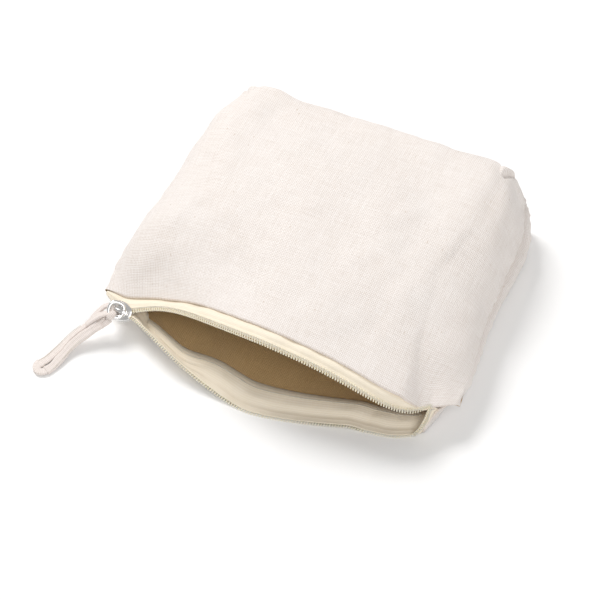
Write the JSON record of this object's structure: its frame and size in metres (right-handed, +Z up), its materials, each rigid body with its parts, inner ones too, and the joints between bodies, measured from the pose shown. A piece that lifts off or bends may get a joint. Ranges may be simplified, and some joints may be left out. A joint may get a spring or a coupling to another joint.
{
  "type": "zippered pouch",
  "caption": "Unlined canvas pouch with a boxed base, a zip across its mouth and a looped fabric pull; it lies on its back with the zip open.",
  "frame": {"origin": "on the table under the middle of the pouch, at the resting face of the back panel", "axes": "+X along the zip from the slider's open end, +Y from the mouth to the boxed base, +Z up from the table"},
  "size_m": [0.2223, 0.2015, 0.0553],
  "materials": {
    "canvas": "natural unbleached cotton canvas, plain weave",
    "strap_canvas": "folded cotton canvas strip",
    "zip_tape": "cream woven polyester tape",
    "coil": "cream nylon coil",
    "slider_metal": "bright nickel",
    "thread": "off-white sewing thread"
  },
  "bodies": {
    "pouch": {"front_panel": "canvas", "back_panel": "canvas", "side_allowance_left": "canvas", "side_allowance_right": "canvas", "base_allowance": "canvas", "corner_allowance_left": "canvas", "corner_allowance_right": "canvas", "side_overlock_left": "thread", "side_overlock_right": "thread", "base_overlock": "thread", "corner_overlock_left": "thread", "corner_overlock_right": "thread"},
    "front_lip": {"zip_tape_front": "zip_tape", "coil_front": "coil", "zip_seam_front": "thread"},
    "back_lip": {"zip_tape_back": "zip_tape", "coil_back": "coil", "zip_seam_back": "thread"},
    "slider": {"slider_body": "slider_metal", "slider_bridge": "slider_metal"},
    "ring": {"pull_ring": "slider_metal"},
    "strap": {"pull_strap": "strap_canvas", "strap_stitching": "thread"}
  },
  "joints": [
    {"name": "zip_slide", "type": "slide", "parent": "pouch", "child": "slider", "axis": [0.999, 0, 0.0446], "range_m": [0, 0.156]},
    {"name": "front_lip_close", "type": "hinge", "parent": "pouch", "child": "front_lip", "pos_m": [-0.088, -0.077, 0.012], "axis": [0.999, 0, 0.0446], "range_deg": [0, 48.5], "deforming": ["zip_tape_front", "coil_front", "zip_seam_front"]},
    {"name": "back_lip_close", "type": "hinge", "parent": "pouch", "child": "back_lip", "pos_m": [-0.088, -0.077, 0.012], "axis": [0.999, 0, 0.0446], "range_deg": [-48.5, 0], "deforming": ["zip_tape_back", "coil_back", "zip_seam_back"]},
    {"name": "ring_swing", "type": "hinge", "parent": "slider", "child": "ring", "pos_m": [-0.0836, -0.079, 0.01506], "axis": [0, 0.829, 0.5592], "range_deg": [0, 85]},
    {"name": "strap_swing", "type": "hinge", "parent": "ring", "child": "strap", "pos_m": [-0.08858, -0.08337, 0.01491], "axis": [0.8403, -0.0914, -0.5343], "range_deg": [-55, 0]}
  ],
  "couplings": [
    {"joint": "front_lip_close", "follows": "zip_slide", "rad_per_m": 5.426},
    {"joint": "back_lip_close", "follows": "zip_slide", "rad_per_m": -5.426}
  ]
}
